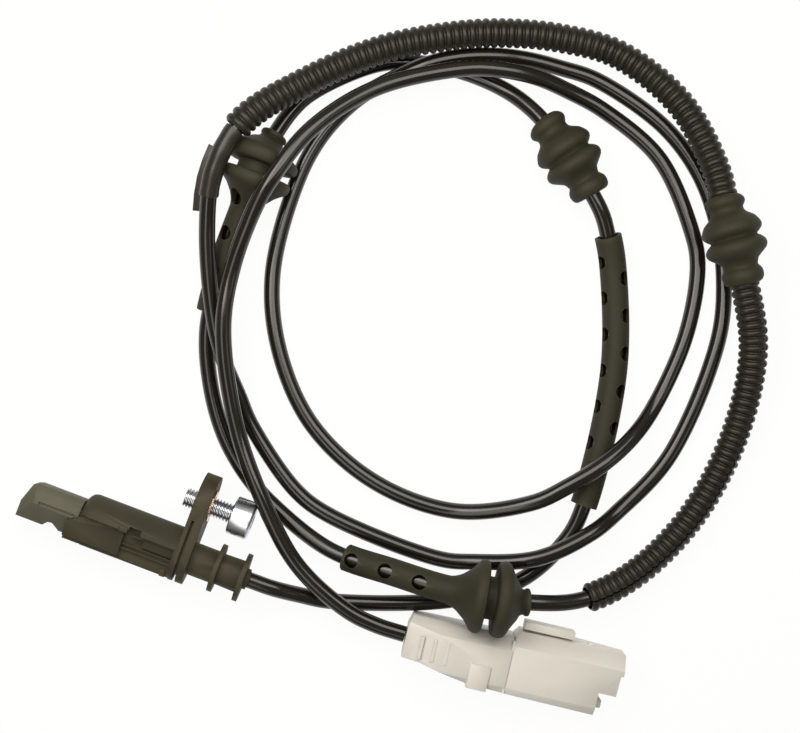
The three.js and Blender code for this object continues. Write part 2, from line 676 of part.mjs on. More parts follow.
// The lead and what is threaded on it
const lead = new THREE.Group();
lead.add(named('lead_cable', makeLeadCable(), jacket));
lead.add(named('holed_sleeve', makeHoledSleeve(), blackRubber));
lead.add(named('front_bellows', makeBellows(frontBellowsStart), blackRubber));
const frontGrommet = makeGrommet(frontGrommetStart, 1, [21.6, 33, 44.4], frontWindowAngle);
lead.add(named('front_grommet', frontGrommet, blackRubber));
const rearGrommetNeckEnd = rearGrommetSleeveEnd + grommetWhole;
const rearGrommet = makeGrommet(rearGrommetNeckEnd, -1, [32.9, 43.9, 54.9], rearWindowAngle);
lead.add(named('rear_grommet', rearGrommet, blackRubber));
const lowerConduit = makeConduit(lowerConduitStart, lowerConduitLength, lowerSlitAngle);
lead.add(named('lower_conduit', lowerConduit, conduitPlastic));
lead.add(named('rear_bellows', makeBellows(rearBellowsStart), blackRubber));
const upperConduit = makeConduit(upperConduitStart, upperConduitLength, upperSlitAngle);
lead.add(named('upper_conduit', upperConduit, conduitPlastic));
lead.add(named('shrink_sleeve', makeShrink(), blackPlastic));
lead.add(named('tape_tail', makeTapeTail(), blackPlastic));

// The connector, in line with the lead's end
const connector = new THREE.Group();
const entryFrame = leadFrame(leadTotal);
const gapX = clearance * Math.cos(connectorAngle);
const gapY = clearance * Math.sin(connectorAngle);
connector.position.set(entryFrame.point.x + gapX, entryFrame.point.y + gapY, 0);
connector.rotation.z = connectorAngle;
connector.add(named('connector_back_cover', makeBackCover(), greyPlastic));
connector.add(named('connector_housing', makeConnectorHousing(), greyPlastic));
connector.add(named('connector_seal', makeSeal(), sealRubber));
connector.add(named('connector_pin_1', makePin(pinPlaces[0]), tinnedCopper));
connector.add(named('connector_pin_2', makePin(pinPlaces[1]), tinnedCopper));
connector.add(named('connector_lock', makeLock(), greyPlastic));

const model = new THREE.Group();
model.add(sensor, lead, connector);

export default model;
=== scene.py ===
import math

import bpy
from mathutils import Matrix, Vector


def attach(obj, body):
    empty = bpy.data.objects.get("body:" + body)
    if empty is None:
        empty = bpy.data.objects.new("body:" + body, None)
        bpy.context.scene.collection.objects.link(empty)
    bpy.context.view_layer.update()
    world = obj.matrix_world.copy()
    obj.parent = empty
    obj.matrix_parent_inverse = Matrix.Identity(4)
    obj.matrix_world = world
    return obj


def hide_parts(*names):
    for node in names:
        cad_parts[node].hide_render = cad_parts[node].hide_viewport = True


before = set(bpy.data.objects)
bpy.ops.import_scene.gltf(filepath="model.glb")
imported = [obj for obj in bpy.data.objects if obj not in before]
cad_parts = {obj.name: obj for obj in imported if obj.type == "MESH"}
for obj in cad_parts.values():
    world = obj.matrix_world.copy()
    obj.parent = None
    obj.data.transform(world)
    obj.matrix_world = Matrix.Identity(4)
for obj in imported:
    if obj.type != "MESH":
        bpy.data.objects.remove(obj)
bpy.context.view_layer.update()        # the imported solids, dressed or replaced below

MM = 0.001
TURN = 2 * math.pi

# Sizes in millimetres, as in the part's own drawing
LEAD_RADIUS = 2.5
SLEEVE_RADIUS = 4.15
SLEEVE_BORE = 3.25
WINDOW_RADIUS = 2.25
WINDOW_DEPTH = 8
HOLED_SLEEVE_START = 117
HOLED_SLEEVE_LENGTH = 84
WINDOW_PITCH = 11.4
FRONT_BELLOWS_START = 216
REAR_BELLOWS_START = 687.4
FRONT_GROMMET_START = 339.5
REAR_GROMMET_SLEEVE_END = 491
GROMMET_LENGTH = 24.6
GROMMET_SLEEVE_LENGTH = 33.5
CONDUIT_PITCH = 2.43
LOWER_CONDUIT_START = 568
LOWER_CONDUIT_LENGTH = 119
UPPER_CONDUIT_START = 712.6
UPPER_CONDUIT_LENGTH = 181.3
SHRINK_START = 894.5
SHRINK_LENGTH = 21.5

# The lead's centreline, from the sensor's tail to the connector
LEAD_ROUTE = [
    (0.0369, -0.0089, 0.0093), (0.044, -0.00885, 0.0087), (0.053, -0.0083, 0.0052),
    (0.0625, -0.007, 0.003), (0.098, 0.007, 0.0025), (0.115, 0.02, 0.0025), (0.123, 0.0355, 0.0035),
    (0.1245, 0.046, 0.0044), (0.1185, 0.09, 0.0044), (0.107, 0.1195, 0.005),
    (0.1015, 0.1285, 0.007), (0.0965, 0.1345, 0.009), (0.0735, 0.1518, 0.0092),
    (0.066, 0.156, 0.007), (0.057, 0.159, 0.004), (0.0445, 0.16, 0.0026), (0.03, 0.158, 0.0025),
    (0.0175, 0.153, 0.0028), (0.002, 0.1375, 0.0056), (-0.002, 0.1292, 0.0079),
    (-0.0046, 0.1144, 0.0114), (-0.0047, 0.103, 0.0116), (-0.0052, 0.076, 0.0058),
    (-0.0029, 0.0575, 0.0034), (0.004, 0.042, 0.0025), (0.0135, 0.029, 0.0025),
    (0.025, 0.0195, 0.0025), (0.037, 0.0135, 0.0028), (0.0565, 0.008, 0.006),
    (0.077, 0.0092, 0.012), (0.0955, 0.011, 0.0163), (0.1185, 0.0158, 0.0156),
    (0.134, 0.0222, 0.0114), (0.1472, 0.036, 0.007), (0.157, 0.058, 0.0047), (0.16, 0.085, 0.0054),
    (0.155, 0.111, 0.0104), (0.1435, 0.13, 0.0147), (0.131, 0.148, 0.0142), (0.1245, 0.158, 0.0124),
    (0.108, 0.173, 0.0094), (0.0855, 0.1805, 0.0086), (0.067, 0.179, 0.0086),
    (0.049, 0.1735, 0.0104), (0.033, 0.1655, 0.0126), (0.017, 0.155, 0.0138), (0, 0.138, 0.0164),
    (-0.0132, 0.1185, 0.0225), (-0.0156, 0.1025, 0.0213), (-0.012, 0.0855, 0.0156),
    (-0.0015, 0.062, 0.011), (0.0055, 0.051, 0.0078), (0.0135, 0.042, 0.0042),
    (0.02, 0.035, 0.0027), (0.04, 0.021, 0.0025), (0.052, 0.0175, 0.0025), (0.089, 0.017, 0.0028),
    (0.099, 0.02, 0.0042), (0.1165, 0.0285, 0.0096), (0.129, 0.041, 0.008), (0.135, 0.05, 0.0038),
    (0.144, 0.0715, 0.0025), (0.1455, 0.11, 0.0025), (0.1405, 0.1285, 0.0025),
    (0.132, 0.1445, 0.0025), (0.121, 0.157, 0.0025), (0.106, 0.1663, 0.0025),
    (0.082, 0.1722, 0.0025), (0.0705, 0.1717, 0.0028), (0.059, 0.17, 0.0046),
    (0.049, 0.1668, 0.0072), (0.0395, 0.1625, 0.008), (0.032, 0.1575, 0.0082),
    (0.0193, 0.146, 0.0034), (0.0143, 0.1393, 0.0025), (0.009, 0.127, 0.0025),
    (0.0067, 0.112, 0.0025), (0.0097, 0.081, 0.0025), (0.02, 0.0595, 0.0025),
    (0.0375, 0.0417, 0.0025), (0.062, 0.032, 0.0025), (0.088, 0.0325, 0.004),
    (0.109, 0.0438, 0.0106), (0.1167, 0.052, 0.0126), (0.124, 0.0615, 0.0124), (0.13, 0.072, 0.009),
    (0.134, 0.084, 0.0038), (0.1356, 0.1085, 0.0025), (0.1313, 0.13, 0.0025),
    (0.1255, 0.1395, 0.0025), (0.1085, 0.1565, 0.0025), (0.0875, 0.164, 0.0032),
    (0.075, 0.1653, 0.0056), (0.064, 0.165, 0.0096), (0.053, 0.1627, 0.0126),
    (0.043, 0.159, 0.0138), (0.0205, 0.1435, 0.0178), (0.007, 0.124, 0.0238),
    (0.0017, 0.1065, 0.026), (0, 0.0975, 0.0244), (-0.0007, 0.0785, 0.0178), (0.003, 0.06, 0.0166),
    (0.017, 0.0332, 0.0114), (0.0319, 0.0157, 0.0117), (0.0487, 0.0007, 0.0098),
    (0.068, -0.0072, 0.0084), (0.078, -0.0083, 0.0077), (0.087, -0.0078, 0.0075),
]


# Shader nodes

def feed(node, inputs):
    """Sets each input to its value, or links it where a socket is given."""
    for key, value in inputs.items():
        if isinstance(value, bpy.types.NodeSocket):
            node.id_data.links.new(value, node.inputs[key])
        else:
            node.inputs[key].default_value = value
    return node


def new_node(tree, kind, inputs, **settings):
    node = tree.nodes.new(kind)
    for key, value in settings.items():
        setattr(node, key, value)
    return feed(node, inputs)


# Camera, floor and light, in metres and degrees

CAMERA_PLACE = (0.0566, 0.0681, 0.496)
PICTURE_TURN = 20.8
PICTURE_UP = PICTURE_TURN + 90
TABLE_MIDDLE = (0.06, 0.085, 0)
TABLE_DROP = 0.0004
WORLD_FILL = 0.2
FLOOR_GLOW = 0.945
WHITE = (1, 1, 1, 1)
LAMP_COLOUR = (1.0, 0.965, 0.91)

# Name, bearing from the picture's up, tilt from overhead, distance, width, depth, watts
SOFTBOXES = [
    ("strip_softbox", 0, 17.6, 0.315, 0.45, 0.2, 1.15),
    ("left_softbox", 90, 27, 0.34, 0.6, 0.12, 0.5),
    ("window_softbox", 0, 55, 0.9, 0.8, 0.5, 0.2),
    ("side_softbox", -110, 55, 1.1, 0.3, 0.5, 0.4),
    ("lower_softbox", 160, 50, 1.1, 0.5, 0.4, 0.5),
]


def photo_camera():
    """Straight down over the table, turned as the picture is."""
    data = bpy.data.cameras.new("picture_camera")
    data.lens = 72
    data.sensor_width = 36
    camera = bpy.data.objects.new("picture_camera", data)
    camera.location = CAMERA_PLACE
    camera.rotation_euler = (0, 0, math.radians(PICTURE_TURN))
    bpy.context.collection.objects.link(camera)
    bpy.context.scene.camera = camera


def white_world():
    """A plain white room, full white where the camera sees it and softer as a light."""
    world = bpy.data.worlds.new("studio")
    bpy.context.scene.world = world
    world.use_nodes = True
    tree = world.node_tree
    tree.nodes.clear()
    by_camera = tree.nodes.new("ShaderNodeLightPath").outputs["Is Camera Ray"]
    fill = new_node(tree, "ShaderNodeBackground", {"Color": WHITE, "Strength": WORLD_FILL})
    backdrop = new_node(tree, "ShaderNodeBackground", {"Color": WHITE})
    choose = new_node(tree, "ShaderNodeMixShader", {0: by_camera, 1: fill.outputs[0],
                                                    2: backdrop.outputs[0]})
    new_node(tree, "ShaderNodeOutputWorld", {"Surface": choose.outputs[0]})


def soft_light(name, toward, tilt, distance, width, depth, power):
    """A softbox over the part, tilted from straight up toward a bearing in degrees from +X."""
    data = bpy.data.lights.new(name, "AREA")
    data.shape = "RECTANGLE"
    data.size = width
    data.size_y = depth
    data.energy = power
    data.color = LAMP_COLOUR
    lamp = bpy.data.objects.new(name, data)
    bearing, lean = math.radians(toward), math.radians(tilt)
    outward = Vector((math.cos(bearing) * math.sin(lean), math.sin(bearing) * math.sin(lean),
                      math.cos(lean)))
    lamp.location = Vector(TABLE_MIDDLE) + outward * distance
    lamp.rotation_euler = outward.to_track_quat("Z", "Y").to_euler()
    bpy.context.collection.objects.link(lamp)


def pale_floor():
    """A white table that glows a little and keeps the part's shadow."""
    begin()
    bpy.ops.mesh.primitive_plane_add(size=6, location=(*TABLE_MIDDLE[:2], -TABLE_DROP))
    floor = bpy.context.object
    floor.name = "floor"
    surface = bpy.data.materials.new("white_floor")
    surface.use_nodes = True
    tree = surface.node_tree
    matt = feed(tree.nodes["Principled BSDF"], {"Base Color": (0.95, 0.95, 0.94, 1), "Roughness": 0.9,
                                                "Specular IOR Level": 0.0})
    glow = new_node(tree, "ShaderNodeEmission", {"Color": (1, 1, 0.985, 1)})
    blend = new_node(tree, "ShaderNodeMixShader", {0: FLOOR_GLOW, 1: matt.outputs[0],
                                                   2: glow.outputs[0]})
    feed(tree.nodes["Material Output"], {"Surface": blend.outputs[0]})
    floor.data.materials.append(surface)


# Modelling steps used by several pieces

def begin():
    """Leaves edit mode and selects nothing."""
    if bpy.context.object and bpy.context.object.mode != "OBJECT":
        bpy.ops.object.mode_set(mode="OBJECT")
    bpy.ops.object.select_all(action="DESELECT")


def pick(piece):
    begin()
    piece.select_set(True)
    bpy.context.view_layer.objects.active = piece


def traced(name, path):
    """Extrudes one vertex through (x, radius) pairs, and leaves the piece in edit mode."""
    begin()
    bpy.ops.mesh.primitive_plane_add(size=MM, location=(0, 0, 0))
    piece = bpy.context.object
    piece.name = name
    bpy.ops.object.mode_set(mode="EDIT")
    bpy.ops.mesh.merge(type="CENTER")
    x, radius = path[0]
    bpy.ops.transform.translate(value=(x * MM, 0, radius * MM))
    for (x0, r0), (x1, r1) in zip(path, path[1:]):
        step = ((x1 - x0) * MM, 0, (r1 - r0) * MM)
        bpy.ops.mesh.extrude_region_move(TRANSFORM_OT_translate={"value": step})
    return piece


def turned(name, profile, sides=48, sweep=TURN, closed=False):
    """Spins a profile of (x, radius) pairs about the X axis."""
    piece = traced(name, list(profile) + ([profile[0]] if closed else []))
    bpy.ops.mesh.select_all(action="SELECT")
    bpy.ops.mesh.spin(steps=sides, angle=sweep, center=(0, 0, 0), axis=(1, 0, 0))
    bpy.ops.mesh.select_all(action="SELECT")
    bpy.ops.mesh.remove_doubles(threshold=0.002 * MM)
    bpy.ops.mesh.normals_make_consistent(inside=False)
    bpy.ops.object.mode_set(mode="OBJECT")
    return piece


def finish_with(piece, kind, **settings):
    """Adds a modifier with these settings and applies it."""
    pick(piece)
    modifier = piece.modifiers.new(kind.lower(), kind)
    for key, value in settings.items():
        setattr(modifier, key, value)
    bpy.ops.object.modifier_apply(modifier=modifier.name)
    return piece


def smooth(piece, angle=35):
    pick(piece)
    bpy.ops.object.shade_smooth_by_angle(angle=math.radians(angle))
    return piece


def rod(name, radius, depth, sides=32):
    """A cylinder on the Z axis, standing on the origin, in millimetres."""
    begin()
    bpy.ops.mesh.primitive_cylinder_add(vertices=sides, radius=radius * MM, depth=depth * MM)
    piece = bpy.context.object
    piece.name = name
    piece.location = (0, 0, depth * MM / 2)
    settle(piece)
    return piece


def block(name, low, high):
    begin()
    bpy.ops.mesh.primitive_cube_add(size=1)
    piece = bpy.context.object
    piece.name = name
    piece.scale = [(b - a) * MM for a, b in zip(low, high)]
    piece.location = [(a + b) * MM / 2 for a, b in zip(low, high)]
    settle(piece)
    return piece


def settle(piece):
    """Puts the piece's place, turn and size into its mesh."""
    pick(piece)
    bpy.ops.object.transform_apply(location=True, rotation=True, scale=True)


def shift(x=0, y=0, z=0):
    """A move in millimetres."""
    return Matrix.Translation((x * MM, y * MM, z * MM))


def turn(degrees, axis):
    return Matrix.Rotation(math.radians(degrees), 4, axis)


def place(piece, matrix):
    piece.matrix_world = matrix
    settle(piece)
    return piece


def another(piece, name):
    """A copy of a modelled piece, with a mesh of its own."""
    twin = piece.copy()
    twin.data = piece.data.copy()
    twin.name = name
    bpy.context.collection.objects.link(twin)
    return twin


def row_of(piece, *places):
    """Copies of one piece at these places, in the piece's stead."""
    row = [place(another(piece, piece.name), spot) for spot in places]
    bpy.data.objects.remove(piece)
    return row


def cut(piece, *cutters):
    for cutter in cutters:
        finish_with(piece, "BOOLEAN", operation="DIFFERENCE", solver="EXACT", object=cutter)
        bpy.data.objects.remove(cutter)
    return piece


def join_to(piece, *others):
    for other in others:
        finish_with(piece, "BOOLEAN", operation="UNION", solver="EXACT", object=other)
        bpy.data.objects.remove(other)
    return piece


def copy_of_node(node, name):
    """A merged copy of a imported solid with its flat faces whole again, to be finished."""
    begin()
    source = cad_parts[node]
    piece = bpy.data.objects.new(name, source.data.copy())
    piece.data.transform(source.matrix_world)
    bpy.context.collection.objects.link(piece)
    pick(piece)
    piece.data.materials.clear()
    bpy.ops.object.mode_set(mode="EDIT")
    bpy.ops.mesh.select_all(action="SELECT")
    bpy.ops.mesh.remove_doubles(threshold=0.004 * MM)
    bpy.ops.mesh.dissolve_limited(angle_limit=math.radians(1))
    bpy.ops.object.mode_set(mode="OBJECT")
    return piece


def soften(piece, width, segments=3, angle=30):
    """Rounds a moulding's edges and keeps its flats flat."""
    finish_with(piece, "BEVEL", width=width * MM, segments=segments, limit_method="ANGLE",
                angle_limit=math.radians(angle), use_clamp_overlap=True, harden_normals=True)
    return smooth(piece, 40)


def deliver(piece, material, slot, *nodes):
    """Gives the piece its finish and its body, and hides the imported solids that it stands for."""
    piece.data.materials.clear()
    piece.data.materials.append(material)
    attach(piece, "root")
    if nodes:
        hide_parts(*nodes)
    return piece


# The fixing screw

SCREW_SEAT = (24.8, 8.0, 9.3)
SCREW_LENGTH = 15.7
THREAD_PITCH = 1
THREAD_ROOT = 2.45
THREAD_CREST = 2.98
HEAD_RADIUS = 5.9
HEAD_HEIGHT = 6.7
KEY_ACROSS_FLATS = 5
KEY_DEPTH = 3.2


def thread_rod(name, x_from, x_to):
    """A threaded shank on the X axis: one turn of thread outline, screwed on, cut and closed."""
    shank = traced(name, ((0, THREAD_ROOT), (0.1, THREAD_ROOT), (0.46, THREAD_CREST),
                          (0.6, THREAD_CREST), (0.96, THREAD_ROOT), (THREAD_PITCH, THREAD_ROOT)))
    bpy.ops.object.mode_set(mode="OBJECT")
    turns = math.ceil((x_to - x_from) / THREAD_PITCH) + 2
    finish_with(shank, "SCREW", axis="X", angle=TURN, screw_offset=THREAD_PITCH * MM, iterations=turns,
                steps=28, render_steps=28, use_merge_vertices=True, merge_threshold=0.005 * MM)
    place(shank, shift(x_from - THREAD_PITCH))
    for end, outward in ((x_from, -1), (x_to, 1)):
        bpy.ops.object.mode_set(mode="EDIT")
        bpy.ops.mesh.select_all(action="SELECT")
        bpy.ops.mesh.bisect(plane_co=(end * MM, 0, 0), plane_no=(outward, 0, 0), use_fill=True,
                            clear_outer=True)
        bpy.ops.mesh.select_all(action="SELECT")
        bpy.ops.mesh.normals_make_consistent(inside=False)
        bpy.ops.object.mode_set(mode="OBJECT")
    return shank


def make_screw():
    """A turned head with a hexagon key socket on a threaded shank."""
    head = turned("screw_head", [(0, 0), (0, 5.5), (0.25, HEAD_RADIUS), (5.9, HEAD_RADIUS), (6.35, 5.6),
                                 (6.6, 5.3), (HEAD_HEIGHT, 4.9), (HEAD_HEIGHT, 0)], 64)
    key = rod("key_socket", KEY_ACROSS_FLATS / math.sqrt(3), KEY_DEPTH + 1, 6)
    cut(head, place(key, shift(HEAD_HEIGHT - KEY_DEPTH) @ turn(90, "Y")))
    finish_with(head, "BEVEL", width=0.12 * MM, segments=2, limit_method="ANGLE",
                angle_limit=math.radians(40), use_clamp_overlap=True)
    shank = thread_rod("screw_thread", -SCREW_LENGTH, 0.6)
    tip = turned("tip_chamfer", [(-SCREW_LENGTH - 1, 0), (-SCREW_LENGTH - 1, 1.6), (-SCREW_LENGTH, 2.1),
                                 (-SCREW_LENGTH + 1, 3.2), (2, 3.2), (2, 0)], 40)
    finish_with(shank, "BOOLEAN", operation="INTERSECT", solver="EXACT", object=tip)
    bpy.data.objects.remove(tip)
    join_to(head, shank)
    place(head, shift(*SCREW_SEAT))
    return smooth(head, 30)


# The sensor housing's deck, slab, ribs and parted flange

HEAD_PLACE = shift(13.5, -8.9, 9.3)
DECK_PLACE = HEAD_PLACE @ shift(0, 1.6, 5.4) @ turn(13.6, "X")
TAIL_END = 23.1


def deck_details():
    """The slab beside the nose, two low ribs and a plateau, drawn square to the sloping deck."""
    slab = block("slab", (-34.4, -8.3, -2.6), (-16.6, 0.6, 0.75))
    corner = place(block("slab_corner", (-12, 0, -4), (0, 6, 4)), shift(-28.4, 0.6) @ turn(33, "Z"))
    nose_room = block("nose_room", (-36, -10, -6), (-31.4, 2, -0.9))
    place(cut(slab, corner, nose_room), DECK_PLACE)
    plateau = place(block("plateau", (-10.2, -3.3, -2.4), (-0.4, 0.5, 0.12)), DECK_PLACE)
    rib = block("deck_rib", (-16.9, -0.28, -2.4), (-0.5, 0.28, -0.75))
    return [slab, plateau, *row_of(rib, DECK_PLACE @ shift(y=-4.6), DECK_PLACE @ shift(y=-6.1))]


def parting_groove():
    """Cutters for the groove round the flange and up its ear, and for the slot at its foot."""
    ear = block("groove", (1.35, -1.5, 7.3), (2.15, 12, 12))
    foot = block("flange_gap", (1.3, -9.6, -9.6), (2.35, -5.3, 9.6))
    ring = turned("groove_ring", [(1.35, 7.1), (1.35, 10), (2.15, 10), (2.15, 7.1)], 48, closed=True)
    cut(ring, block("ear_side", (0, 1.5, -12), (4, 12, 12)))
    return [place(cutter, HEAD_PLACE) for cutter in (ear, foot, ring)]


def detail_housing(housing):
    """Adds the deck's details, a clip and the lead's seat, and cuts the pocket and the groove."""
    seat = turned("lead_seat", [(TAIL_END - 0.7, 0), (TAIL_END - 0.7, 2.44), (TAIL_END + 0.28, 2.44),
                                (TAIL_END + 0.28, 0)], 32)
    clip = block("clip", (-18.2, 1.3, 5), (-15.7, 2.9, 8.25))
    join_to(housing, *deck_details(), place(clip, HEAD_PLACE), place(seat, HEAD_PLACE))
    pocket = place(block("pocket", (-15.4, 1.0, 4.2), (-11.6, 3.4, 9)), HEAD_PLACE)
    foot_trim = place(block("foot_trim", (-3.4, -9.6, -5), (-0.35, -8.12, 4)), HEAD_PLACE)
    return cut(housing, pocket, foot_trim, *parting_groove())


# The lead

def route_curve(points, spacing):
    """Evenly spaced points on a smooth curve through the route's points."""
    knots = [Vector(p) for p in points]
    knots = [2 * knots[0] - knots[1], *knots, 2 * knots[-1] - knots[-2]]
    dense = []
    for p0, p1, p2, p3 in zip(knots, knots[1:], knots[2:], knots[3:]):
        d0, d1, d2 = (math.sqrt((b - a).length) for a, b in ((p0, p1), (p1, p2), (p2, p3)))
        slope1 = ((p1 - p0) / d0 - (p2 - p0) / (d0 + d1) + (p2 - p1) / d1) * d1
        slope2 = ((p2 - p1) / d1 - (p3 - p1) / (d1 + d2) + (p3 - p2) / d2) * d1
        for k in range(40):
            t = k / 40
            dense.append(p1 + slope1 * t + (3 * (p2 - p1) - 2 * slope1 - slope2) * t * t
                         + (2 * (p1 - p2) + slope1 + slope2) * t ** 3)
    dense.append(knots[-2])
    along = [0.0]
    for a, b in zip(dense, dense[1:]):
        along.append(along[-1] + (b - a).length)
    count = round(along[-1] / spacing)
    even, k = [], 0
    for step in range(count + 1):
        want = along[-1] * step / count
        while k < len(along) - 2 and along[k + 1] < want:
            k += 1
        even.append(dense[k].lerp(dense[k + 1], (want - along[k]) / (along[k + 1] - along[k])))
    return even


def make_lead():
    """The lead as a live curve, which also carries the pieces threaded on it."""
    points = route_curve(LEAD_ROUTE, 2 * MM)
    data = bpy.data.curves.new("sensor_lead", "CURVE")
    data.dimensions = "3D"
    data.twist_mode = "Z_UP"
    data.bevel_depth = LEAD_RADIUS * MM
    data.bevel_resolution = 7
    data.use_fill_caps = True
    line = data.splines.new("POLY")
    line.points.add(len(points) - 1)
    for knot, point in zip(line.points, points):
        knot.co = (*point, 1)
    line.use_smooth = True
    lead = bpy.data.objects.new("sensor_lead", data)
    bpy.context.collection.objects.link(lead)
    return lead


def thread_on_lead(piece):
    """Carries a straight piece, drawn along X by its place on the lead, onto the lead's curve."""
    return finish_with(piece, "CURVE", object=lead, deform_axis="POS_X")


def cut_windows(sleeve, spots):
    """Cuts a round window through one wall at each (x, lean), leaning right of straight up."""
    cutter = rod("window_cutter", WINDOW_RADIUS, WINDOW_DEPTH, 24)
    cut(sleeve, *row_of(cutter, *(shift(x) @ turn(lean, "X") for x, lean in spots)))


def spaced(start, end, spacing):
    """Even steps from start to end, about this far apart."""
    count = max(1, round((end - start) / spacing))
    return [start + (end - start) * k / count for k in range(count + 1)]


def tube_profile(start, end, outer, inner, spacing=1.6):
    """A closed tube wall, stepped finely enough to bend."""
    outside = [(x, outer) for x in spaced(start, end, spacing)]
    inside = [(x, inner) for x in reversed(spaced(start, end, spacing))]
    return outside + inside


def make_holed_sleeve():
    start = HOLED_SLEEVE_START
    end = start + HOLED_SLEEVE_LENGTH
    wall = tube_profile(start, end, SLEEVE_RADIUS, SLEEVE_BORE)
    sleeve = turned("holed_sleeve_tube", wall, closed=True)
    windows = []
    for lean, first in ((48, 25), (-70, 19.3)):
        x = start + first
        while x < end - 4:
            windows.append((x, lean))
            x += WINDOW_PITCH
    cut_windows(sleeve, windows)
    return smooth(thread_on_lead(sleeve))


BELLOWS_OUTSIDE = [
    (-1.3, 4.6), (-1.25, 5.0), (-0.9, 5.6), (-0.2, 6.05), (0.6, 6.25), (1.4, 6.3), (2.3, 6.1),
    (3.0, 5.7), (3.5, 5.25), (3.9, 5.1), (4.6, 5.3), (5.6, 5.75), (6.4, 6.7), (7.2, 7.8),
    (8.0, 8.75), (8.8, 9.2), (9.5, 9.3), (10.3, 9.15), (11.1, 8.6), (11.8, 7.8), (12.25, 7.1),
    (12.7, 7.2), (13.3, 8.0), (14.1, 8.8), (15.0, 9.15), (15.9, 9.0), (16.9, 8.5), (18.0, 7.8),
    (18.8, 6.8), (19.4, 6.0), (20.1, 5.35), (20.9, 5.1), (21.6, 5.15), (22.1, 5.5), (22.8, 5.95),
    (23.5, 6.15), (24.3, 6.0), (25.0, 5.5), (25.45, 4.9), (25.5, 4.6),
]
BELLOWS_INSIDE = [
    (24.2, 4.6), (23.7, 4.2), (23.5, 2.85), (18.6, 2.85), (17, 4.6), (15.1, 7.9), (13.6, 7.2),
    (12.4, 5.6), (10.6, 7.4), (9.4, 8.1), (7.8, 6.8), (5.6, 3.6), (4.6, 2.85), (0.8, 2.85),
    (0.6, 4.2), (0.1, 4.6),
]


def make_bellows():
    """Two bellows: one moulding, copied to its two places on the lead."""
    moulding = turned("bellows_moulding", BELLOWS_OUTSIDE + BELLOWS_INSIDE, 56, closed=True)
    pair = []
    for name, start in (("front_bellows_moulding", FRONT_BELLOWS_START),
                        ("rear_bellows_moulding", REAR_BELLOWS_START)):
        pair.append(smooth(thread_on_lead(place(another(moulding, name), shift(start))), 50))
    bpy.data.objects.remove(moulding)
    return pair


GROMMET_OUTSIDE = [
    (0, 3.9), (0.2, 4.15), (0.9, 4.2), (1.2, 4.0), (1.5, 3.75), (2.4, 4.0), (3.0, 4.7), (3.6, 5.9),
    (4.6, 7.3), (5.6, 8.9), (6.3, 10.3), (6.8, 11.0), (7.5, 11.4), (8.5, 11.5), (9.4, 11.3),
    (10.1, 10.8), (10.35, 10.4), (10.5, 6.5), (11.8, 6.4), (13.1, 6.5), (13.3, 10.2), (13.6, 10.8),
    (14.3, 11.1), (15.3, 11.1), (16.2, 10.7), (16.9, 9.9), (17.6, 8.9), (18.6, 7.7), (19.8, 6.7),
    (21, 5.7), (22.2, 5.0), (23.4, 4.5), (24.6, 4.2),
]


def grommet_body():
    """Neck, two discs with the panel groove between them, a cone and a sleeve, moulded in one."""
    total = GROMMET_LENGTH + GROMMET_SLEEVE_LENGTH
    outside = list(GROMMET_OUTSIDE)
    outside += [(x, SLEEVE_RADIUS) for x in spaced(26, total - 0.3, 1.6)]
    outside += [(total, SLEEVE_RADIUS - 0.25)]
    inside = [(x, SLEEVE_BORE) for x in reversed(spaced(8, total, 1.8))]
    inside += [(4, 2.85), (0.4, 2.85), (0, 3.1)]
    return turned("grommet_body", outside + inside, 56, closed=True)


def make_grommets():
    """The two grommets, the rear one facing back along the lead, each with its own windows."""
    body = grommet_body()
    rear_neck = REAR_GROMMET_SLEEVE_END + GROMMET_LENGTH + GROMMET_SLEEVE_LENGTH
    pair = []
    for name, neck, direction, from_neck, lean in (
        ("front_grommet_moulding", FRONT_GROMMET_START, 1, (21.6, 33, 44.4), 35),
        ("rear_grommet_moulding", rear_neck, -1, (32.9, 43.9, 54.9), 0),
    ):
        facing = turn(0 if direction > 0 else 180, "Z")
        grommet = place(another(body, name), shift(neck) @ facing)
        cut_windows(grommet, [(neck + direction * x, lean) for x in from_neck])
        pair.append(smooth(thread_on_lead(grommet), 40))
    bpy.data.objects.remove(body)
    return pair


# One conduit ridge as (share of the pitch, radius)
RIDGE = [
    (0, 3.72), (0.07, 3.74), (0.13, 3.95), (0.2, 4.2), (0.31, 4.38), (0.43, 4.45), (0.57, 4.45),
    (0.69, 4.38), (0.8, 4.2), (0.87, 3.95), (0.93, 3.74), (1, 3.72),
]
SLIT_ANGLE = 8
CONDUIT_WALL = 0.32


def make_conduit(name, start, length, slit_lean, slit_twist):
    """One ridge with a gap in its ring, repeated along the tube, given its wall, twisted and bent."""
    ridges = round(length / CONDUIT_PITCH)
    pitch = length / ridges
    ridge = [(share * pitch, radius) for share, radius in RIDGE]
    conduit = turned(name, ridge, 40, TURN - math.radians(SLIT_ANGLE))
    finish_with(conduit, "ARRAY", count=ridges, use_relative_offset=False, use_constant_offset=True,
                constant_offset_displace=(pitch * MM, 0, 0), use_merge_vertices=True,
                merge_threshold=0.01 * MM)
    finish_with(conduit, "SOLIDIFY", thickness=CONDUIT_WALL * MM, offset=-1, use_even_offset=True)
    if slit_twist:
        finish_with(conduit, "SIMPLE_DEFORM", deform_method="TWIST", deform_axis="X",
                    angle=math.radians(slit_twist))
    place(conduit, shift(start) @ turn(slit_lean, "X"))
    return smooth(thread_on_lead(conduit), 50)


